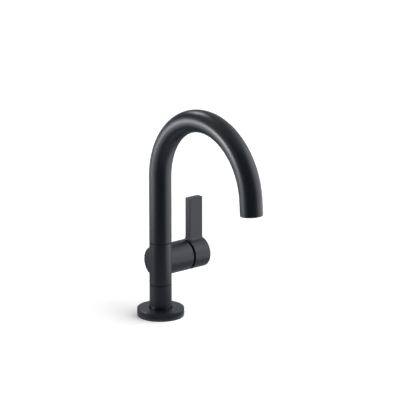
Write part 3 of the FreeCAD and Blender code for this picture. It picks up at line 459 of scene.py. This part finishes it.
class FAUCET_OT_black_finish(Operator):
    """Coats the outer metal pieces in satin black"""

    bl_idname = "faucet.black_finish"
    bl_label = "Coat in Black"

    def execute(self, context):
        finishes = context.scene.faucet_finishes
        coat = grained_finish(
            "satin_black_coating", finishes.black, finishes.black_roughness, **COATING
        )
        dress(BLACK_PIECES, coat)
        return {"FINISHED"}


class FAUCET_OT_plastics(Operator):
    """Moulds the glide rings, the cartridge and the aerator in plastic"""

    bl_idname = "faucet.plastics"
    bl_label = "Mould Plastics"

    def execute(self, context):
        finishes = context.scene.faucet_finishes
        black = grained_finish("black_acetal", finishes.black_plastic, **BLACK_MOULDING)
        white = grained_finish("white_acetal", finishes.white_plastic, **WHITE_MOULDING)
        dress(BLACK_PLASTIC_PIECES, black)
        dress(WHITE_PLASTIC_PIECES, white)
        return {"FINISHED"}


class FAUCET_OT_rubber(Operator):
    """Moulds the seals and gaskets in rubber"""

    bl_idname = "faucet.rubber"
    bl_label = "Mould Rubber"

    def execute(self, context):
        finishes = context.scene.faucet_finishes
        dress(RUBBER_PIECES, grained_finish("seal_rubber", finishes.rubber, **RUBBER_MOULDING))
        return {"FINISHED"}


class FAUCET_OT_metals(Operator):
    """Turns the bare brass and steel pieces, with tool marks about each piece's own axis"""

    bl_idname = "faucet.metals"
    bl_label = "Turn Metals"

    def execute(self, context):
        finishes = context.scene.faucet_finishes
        valve = middle_of("cartridge_stem")
        outlet = middle_of("outlet_insert")
        spout_way = (middle_of("aerator_seal") - middle_of("aerator_shell")).normalized()
        screw = middle_of("set_screw")
        brass = {"colour": finishes.brass, **BRASS_TURNING}
        steel = {"colour": finishes.steel, **STEEL_TURNING}
        for pieces, name, metal, centre, axis in (
            (BRASS_ABOUT_COLUMN, "brass_about_column", brass, COLUMN_FOOT, UPRIGHT),
            (BRASS_ABOUT_VALVE, "brass_about_valve", brass, valve, SIDEWAYS),
            (BRASS_ABOUT_OUTLET, "brass_about_outlet", brass, outlet, spout_way),
            (STEEL_ABOUT_COLUMN, "steel_about_column", steel, COLUMN_FOOT, UPRIGHT),
            (STEEL_ABOUT_SCREW, "steel_about_screw", steel, screw, UPRIGHT),
        ):
            dress(pieces, turned_finish(name, centre=centre, axis=axis, **metal))
        return {"FINISHED"}


class FAUCET_OT_ceramics(Operator):
    """Fires and laps the two ceramic discs"""

    bl_idname = "faucet.ceramics"
    bl_label = "Lap Ceramic Discs"

    def execute(self, context):
        finishes = context.scene.faucet_finishes
        dress(CERAMIC_PIECES, grained_finish("lapped_ceramic", finishes.ceramic, **LAPPING))
        return {"FINISHED"}


class FAUCET_OT_shank_thread(Operator):
    """Cuts the thread on the shank under the deck"""

    bl_idname = "faucet.shank_thread"
    bl_label = "Cut Shank Thread"

    def execute(self, context):
        sizes = context.scene.faucet_thread
        low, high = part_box(SHANK)
        bore, crest = radii_about_column(SHANK)
        points = threaded_tube(sizes, low.z, -sizes.plain_top, high.z, bore, crest)
        piece = mesh_from_grid("threaded_shank", points, sharp_angle=THREAD_SHARP_ANGLE)
        piece.data.materials.append(bpy.data.materials["brass_about_column"])
        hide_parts(SHANK)
        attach(piece, "base")
        return {"FINISHED"}


# ---------------------------------------------------------------- studio


# A stretch of directions round the faucet has four angles in degrees: its azimuth and half its width,
# its elevation and half its height. Azimuth 0 is the front and 90 the hub's side.
STRETCH_ANGLES = ("Azimuth", "Half Width", "Elevation", "Half Height")
EDGE_SOFTNESS = math.radians(14.0)
BRIGHT_SIDE = (60.0, 60.0, 35.0, 22.0)  # the backdrop's stretch that lights the faucet more

# The tent's brightness in the faucet's gloss: each glow is a stretch and its radiance.
GLOWS = {
    "dusk": (0.0, 200.0, 0.0, 100.0, 0.11),
    "ceiling": (0.0, 200.0, 75.0, 20.0, 0.32),
    "near_ground": (0.0, 200.0, -70.0, 32.0, 0.36),
    "window_top": (70.0, 35.0, 50.0, 10.0, 0.85),
    "window_high": (62.0, 34.0, 30.0, 12.0, 1.95),
    "window": (62.0, 36.0, 3.0, 17.0, 1.60),
    "window_ground": (62.0, 38.0, -30.0, 18.0, 1.42),
    "window_edge": (110.0, 10.0, 20.0, 34.0, 0.30),
    "window_side": (20.0, 9.0, 5.0, 35.0, 0.20),
    "left_front": (-88.0, 20.0, 2.0, 30.0, 0.17),
    "strip_left": (-146.0, 7.0, 0.0, 9.0, 9.0),
    "strip_right": (-113.0, 5.0, 4.0, 5.0, 9.0),
    "strip_ground": (-125.0, 25.0, -14.0, 8.0, 1.60),
    "left_sky": (-125.0, 35.0, 40.0, 20.0, 0.38),
    "far_left": (-165.0, 16.0, -5.0, 22.0, 0.28),
    "far_right": (150.0, 40.0, -8.0, 16.0, 0.45),
    "right_sky": (128.0, 20.0, 30.0, 24.0, 0.36),
}
GLOW_TINT = (0.97, 0.99, 1.05)
DUSK_TINT = (0.75, 1.02, 1.30)

# The lamps that only gloss shows: azimuth and elevation in degrees, distance, width and height in
# metres, and radiance.
LAMPS = {
    "strip": (-124.0, 2.0, 2.0, 0.33, 0.28, 54.0),
    "back_lamp": (174.0, 42.0, 2.0, 0.50, 0.50, 11.0),
}

# The tent's ground sheet lies TENT_LIFT above the floor, from beside the flange to the dome.
FAUCET_MIDDLE = Vector((0.0, -0.06, 0.16))
TENT_NEAR, TENT_FAR, TENT_LIFT = 0.032, 2.6, 0.0015
TENT_GROUND_RINGS, TENT_DOME_RINGS, TENT_SIDES = 25, 33, 96
# Painted shade: between these two reaches from the origin the tent's glow fades up from the last share
# to full, in place of the flange's shadow.
PAINTED_FOOT_SHADE_START, PAINTED_FOOT_SHADE_END, PAINTED_FOOT_SHADE_LIGHT = 0.032, 0.055, 0.45
FLOOR_RINGS, FLOOR_SIDES = 5, 96
WHITE = (1.0, 1.0, 1.0, 1.0)


def direction(azimuth, elevation):
    """The unit vector towards a place round the faucet. Azimuth 0 is the front, 90 the hub's side."""
    turn, rise = math.radians(azimuth), math.radians(elevation)
    return Vector((math.sin(turn) * math.cos(rise), -math.cos(turn) * math.cos(rise), math.sin(rise)))


def make_glow_group():
    """A stretch of directions with soft edges: 1 inside it and 0 outside.

    The point is turned about the upright axis until the stretch's middle faces the front. Its angle
    from there and its height above the horizon then fade from 1 to 0 across the stretch's edges.
    """
    group, given, result = new_group(
        "soft_glow",
        [("Point", VECTOR, COLUMN_FOOT), ("Azimuth", NUMBER, 0.0), ("Half Width", NUMBER, 1.0),
         ("Elevation", NUMBER, 0.0), ("Half Height", NUMBER, 1.0)],
        ["Mask"],
    )
    turned = group.nodes.new("ShaderNodeVectorRotate")
    turned.rotation_type = "Z_AXIS"
    group.links.new(given.outputs["Point"], turned.inputs["Vector"])
    back_turn = add_math(group, "MULTIPLY", given.outputs["Azimuth"], -1.0)
    group.links.new(back_turn, turned.inputs["Angle"])
    parts = group.nodes.new("ShaderNodeSeparateXYZ")
    group.links.new(turned.outputs["Vector"], parts.inputs["Vector"])
    across, backwards, up = parts.outputs
    frontwards = add_math(group, "MULTIPLY", backwards, -1.0)
    aside = add_math(group, "ARCTAN2", across, frontwards)
    squares = add_math(group, "ADD", add_math(group, "POWER", across, 2.0),
                       add_math(group, "POWER", backwards, 2.0))
    height = add_math(group, "ARCTAN2", up, add_math(group, "SQRT", squares))
    above = add_math(group, "SUBTRACT", height, given.outputs["Elevation"])
    sideways = edge_fade(group, aside, given.outputs["Half Width"])
    upwards = edge_fade(group, above, given.outputs["Half Height"])
    group.links.new(add_math(group, "MULTIPLY", sideways, upwards), result.inputs["Mask"])
    return group


def edge_fade(tree, angle, half):
    """1 where the angle is within the half width either way, fading to 0 across its edge."""
    inside = add_math(tree, "SUBTRACT", half, EDGE_SOFTNESS / 2)
    outside = add_math(tree, "ADD", half, EDGE_SOFTNESS / 2)
    return add_fade(tree, add_math(tree, "ABSOLUTE", angle), inside, outside, first=1.0, last=0.0)


def add_glow(tree, name, point, stretch):
    """How far a point, seen from the origin, lies in a stretch of directions."""
    glow = tree.nodes.new("ShaderNodeGroup")
    glow.name = name
    glow.node_tree = shared_group("soft_glow", make_glow_group)
    tree.links.new(point, glow.inputs["Point"])
    for label, angle in zip(STRETCH_ANGLES, stretch):
        glow.inputs[label].default_value = math.radians(angle)
    return glow.outputs["Mask"]


def seen_directly(tree):
    """1 for rays that show the backdrop: from the camera, off a gloss or through glass. 0 for others."""
    path = tree.nodes.new("ShaderNodeLightPath")
    either = add_math(tree, "MAXIMUM", path.outputs["Is Camera Ray"], path.outputs["Is Glossy Ray"])
    return add_math(tree, "MAXIMUM", either, path.outputs["Is Transmission Ray"])


def set_backdrop(scene, studio):
    """A white all round, which lights the faucet with an even fill and from its brighter side."""
    world = bpy.data.worlds.new("white_backdrop")
    scene.world = world
    world.use_nodes = True
    tree = world.node_tree
    background = tree.nodes["Background"]
    background.inputs["Color"].default_value = WHITE
    towards = tree.nodes.new("ShaderNodeTexCoord").outputs["Generated"]
    side = add_glow(tree, "bright_side", towards, BRIGHT_SIDE)
    light = add_math(tree, "ADD", add_math(tree, "MULTIPLY", side, studio.bright_side), studio.fill)
    strength = add_math(tree, "MAXIMUM", seen_directly(tree), light)
    tree.links.new(strength, background.inputs["Strength"])


def new_stage_material(name):
    """A material without its usual shader: its node tree and the socket that takes its surface."""
    material = bpy.data.materials.new(name)
    material.use_nodes = True
    tree = material.node_tree
    tree.nodes.remove(tree.nodes["Principled BSDF"])
    return material, tree, tree.nodes["Material Output"].inputs["Surface"]


def floor_material(studio):
    """A pale floor that takes shadows, glows up to white and fades into the backdrop far away."""
    material, tree, surface = new_stage_material("pale_floor")
    matte = tree.nodes.new("ShaderNodeBsdfDiffuse")
    matte.inputs["Color"].default_value = (*studio.floor, 1.0)
    glow = tree.nodes.new("ShaderNodeEmission")
    strength = add_math(tree, "MULTIPLY", seen_directly(tree), studio.floor_glow)
    tree.links.new(strength, glow.inputs["Strength"])
    both = tree.nodes.new("ShaderNodeAddShader")
    tree.links.new(matte.outputs[0], both.inputs[0])
    tree.links.new(glow.outputs[0], both.inputs[1])
    place = tree.nodes.new("ShaderNodeTexCoord").outputs["Object"]
    reach = add_vector_math(tree, "LENGTH", place)["Value"]
    far_off = add_fade(tree, reach, studio.floor_radius / 2, studio.floor_radius)
    underneath = tree.nodes.new("ShaderNodeNewGeometry").outputs["Backfacing"]
    gone = tree.nodes.new("ShaderNodeMixShader")
    tree.links.new(add_math(tree, "MAXIMUM", far_off, underneath), gone.inputs[0])
    tree.links.new(both.outputs[0], gone.inputs[1])
    tree.links.new(tree.nodes.new("ShaderNodeBsdfTransparent").outputs[0], gone.inputs[2])
    tree.links.new(gone.outputs[0], surface)
    return material


def tent():
    """Points of a tent round the faucet: a ground sheet that starts beside its foot, then a dome.

    The first parameter goes out over the ground, in ever longer steps, and up a quarter-round to the
    dome's top. The second is the angle round the column's axis.
    """
    ground = np.geomspace(TENT_NEAR, TENT_FAR, TENT_GROUND_RINGS)[:-1]
    rise = np.linspace(0.0, math.pi / 2, TENT_DOME_RINGS)
    reach = np.concatenate([ground, TENT_FAR * np.cos(rise)])[:, None]
    height = np.concatenate([np.zeros_like(ground), TENT_FAR * np.sin(rise)])[:, None] + TENT_LIFT
    turn = np.linspace(-math.pi, math.pi, TENT_SIDES + 1)
    return grid_points(reach * np.sin(turn), -reach * np.cos(turn), height)


def tent_material():
    """The tent's own light: the sum of its glows, each at its radiance and tint.

    Its glow is dimmed close to the foot. This is painted shade, in place of the shadow that the flange
    casts on the ground.
    """
    material, tree, surface = new_stage_material("tent")
    place = tree.nodes.new("ShaderNodeTexCoord").outputs["Object"]
    seen = add_vector_math(tree, "SUBTRACT", place, FAUCET_MIDDLE)["Vector"]
    total = (0.0, 0.0, 0.0)
    for name, (*stretch, radiance) in GLOWS.items():
        colour = scaled(DUSK_TINT if name == "dusk" else GLOW_TINT, radiance)
        glow = add_glow(tree, name, seen, stretch)
        total = add_vector_math(tree, "MULTIPLY_ADD", colour, glow, total)["Vector"]
    reach = add_vector_math(tree, "LENGTH", place)["Value"]
    # Painted shade in place of the flange's shadow: the glow is dimmed close to the foot.
    painted_foot_shade = add_fade(tree, reach, PAINTED_FOOT_SHADE_START, PAINTED_FOOT_SHADE_END, first=PAINTED_FOOT_SHADE_LIGHT)
    light = tree.nodes.new("ShaderNodeEmission")
    tree.links.new(total, light.inputs["Color"])
    tree.links.new(painted_foot_shade, light.inputs["Strength"])
    tree.links.new(light.outputs[0], surface)
    return material


def show_in_gloss_alone(card):
    """Hides a card of the stage from every ray but those that leave a glossy surface."""
    card.visible_camera = False
    card.visible_diffuse = False
    card.visible_transmission = False
    card.visible_volume_scatter = False
    card.visible_shadow = False


def hang_lamp(scene, name, azimuth, elevation, distance, width, height, radiance):
    """A soft rectangular lamp that faces the faucet and shows in its gloss alone.

    Its power is its radiance times its area times pi.
    """
    light = bpy.data.lights.new(name, "AREA")
    light.shape = "RECTANGLE"
    light.size = width
    light.size_y = height
    light.energy = radiance * width * height * math.pi
    lamp = bpy.data.objects.new(name, light)
    outwards = direction(azimuth, elevation)
    lamp.location = FAUCET_MIDDLE + outwards * distance
    lamp.rotation_euler = outwards.to_track_quat("Z", "Y").to_euler()
    lamp.visible_camera = False
    lamp.visible_diffuse = False
    scene.collection.objects.link(lamp)


def place_camera(scene, studio):
    """A camera at its distance from the point that it aims at."""
    outwards = direction(math.degrees(studio.azimuth), math.degrees(studio.elevation))
    camera = bpy.data.objects.new("camera", bpy.data.cameras.new("camera"))
    camera.data.lens = studio.lens
    camera.location = Vector(studio.aim) + outwards * studio.distance
    camera.rotation_euler = outwards.to_track_quat("Z", "Y").to_euler()
    scene.collection.objects.link(camera)
    scene.camera = camera


class FAUCET_OT_studio(Operator):
    """Sets out the pale floor, the backdrop, the tent, the lamps and the camera"""

    bl_idname = "faucet.studio"
    bl_label = "Set Out Studio"

    def execute(self, context):
        scene = context.scene
        studio = scene.faucet_studio
        scene.view_settings.view_transform = "Standard"
        set_backdrop(scene, studio)
        ground = disc(studio.floor_radius, FLOOR_RINGS, FLOOR_SIDES)
        floor = mesh_from_grid("floor", ground, sharp_angle=SMOOTH_ALL_OVER)
        floor.data.materials.append(floor_material(studio))
        surround = mesh_from_grid("tent", tent(), sharp_angle=SMOOTH_ALL_OVER)
        surround.data.materials.append(tent_material())
        show_in_gloss_alone(surround)
        for name, sizes in LAMPS.items():
            hang_lamp(scene, name, *sizes)
        place_camera(scene, studio)
        return {"FINISHED"}


# ---------------------------------------------------------------- sidebar


OPERATORS = (
    FAUCET_OT_black_finish,
    FAUCET_OT_plastics,
    FAUCET_OT_rubber,
    FAUCET_OT_metals,
    FAUCET_OT_ceramics,
    FAUCET_OT_shank_thread,
    FAUCET_OT_studio,
)
SETTINGS = {
    "faucet_finishes": FaucetFinishes,
    "faucet_thread": FaucetThread,
    "faucet_studio": FaucetStudio,
}


class FAUCET_PT_looks(Panel):
    """Lists the steps that dress the faucet, with their sizes and colours"""

    bl_idname = "FAUCET_PT_looks"
    bl_label = "Bar Faucet"
    bl_space_type = "VIEW_3D"
    bl_region_type = "UI"
    bl_category = "Faucet"

    def draw(self, context):
        for step in OPERATORS:
            self.layout.operator(step.bl_idname)
        for name in SETTINGS:
            settings = getattr(context.scene, name)
            box = self.layout.box()
            for key in settings.bl_rna.properties.keys():
                if key not in {"rna_type", "name"}:
                    box.prop(settings, key)


def register():
    for settings in SETTINGS.values():
        bpy.utils.register_class(settings)
    for name, settings in SETTINGS.items():
        setattr(bpy.types.Scene, name, PointerProperty(type=settings))
    for step in OPERATORS:
        bpy.utils.register_class(step)
    bpy.utils.register_class(FAUCET_PT_looks)


def unregister():
    bpy.utils.unregister_class(FAUCET_PT_looks)
    for step in reversed(OPERATORS):
        bpy.utils.unregister_class(step)
    for name, settings in SETTINGS.items():
        delattr(bpy.types.Scene, name)
        bpy.utils.unregister_class(settings)


def main():
    register()
    bpy.ops.faucet.black_finish()
    bpy.ops.faucet.plastics()
    bpy.ops.faucet.rubber()
    bpy.ops.faucet.metals()
    bpy.ops.faucet.ceramics()
    bpy.ops.faucet.shank_thread()
    bpy.ops.faucet.studio()


if __name__ == "__main__":
    main()
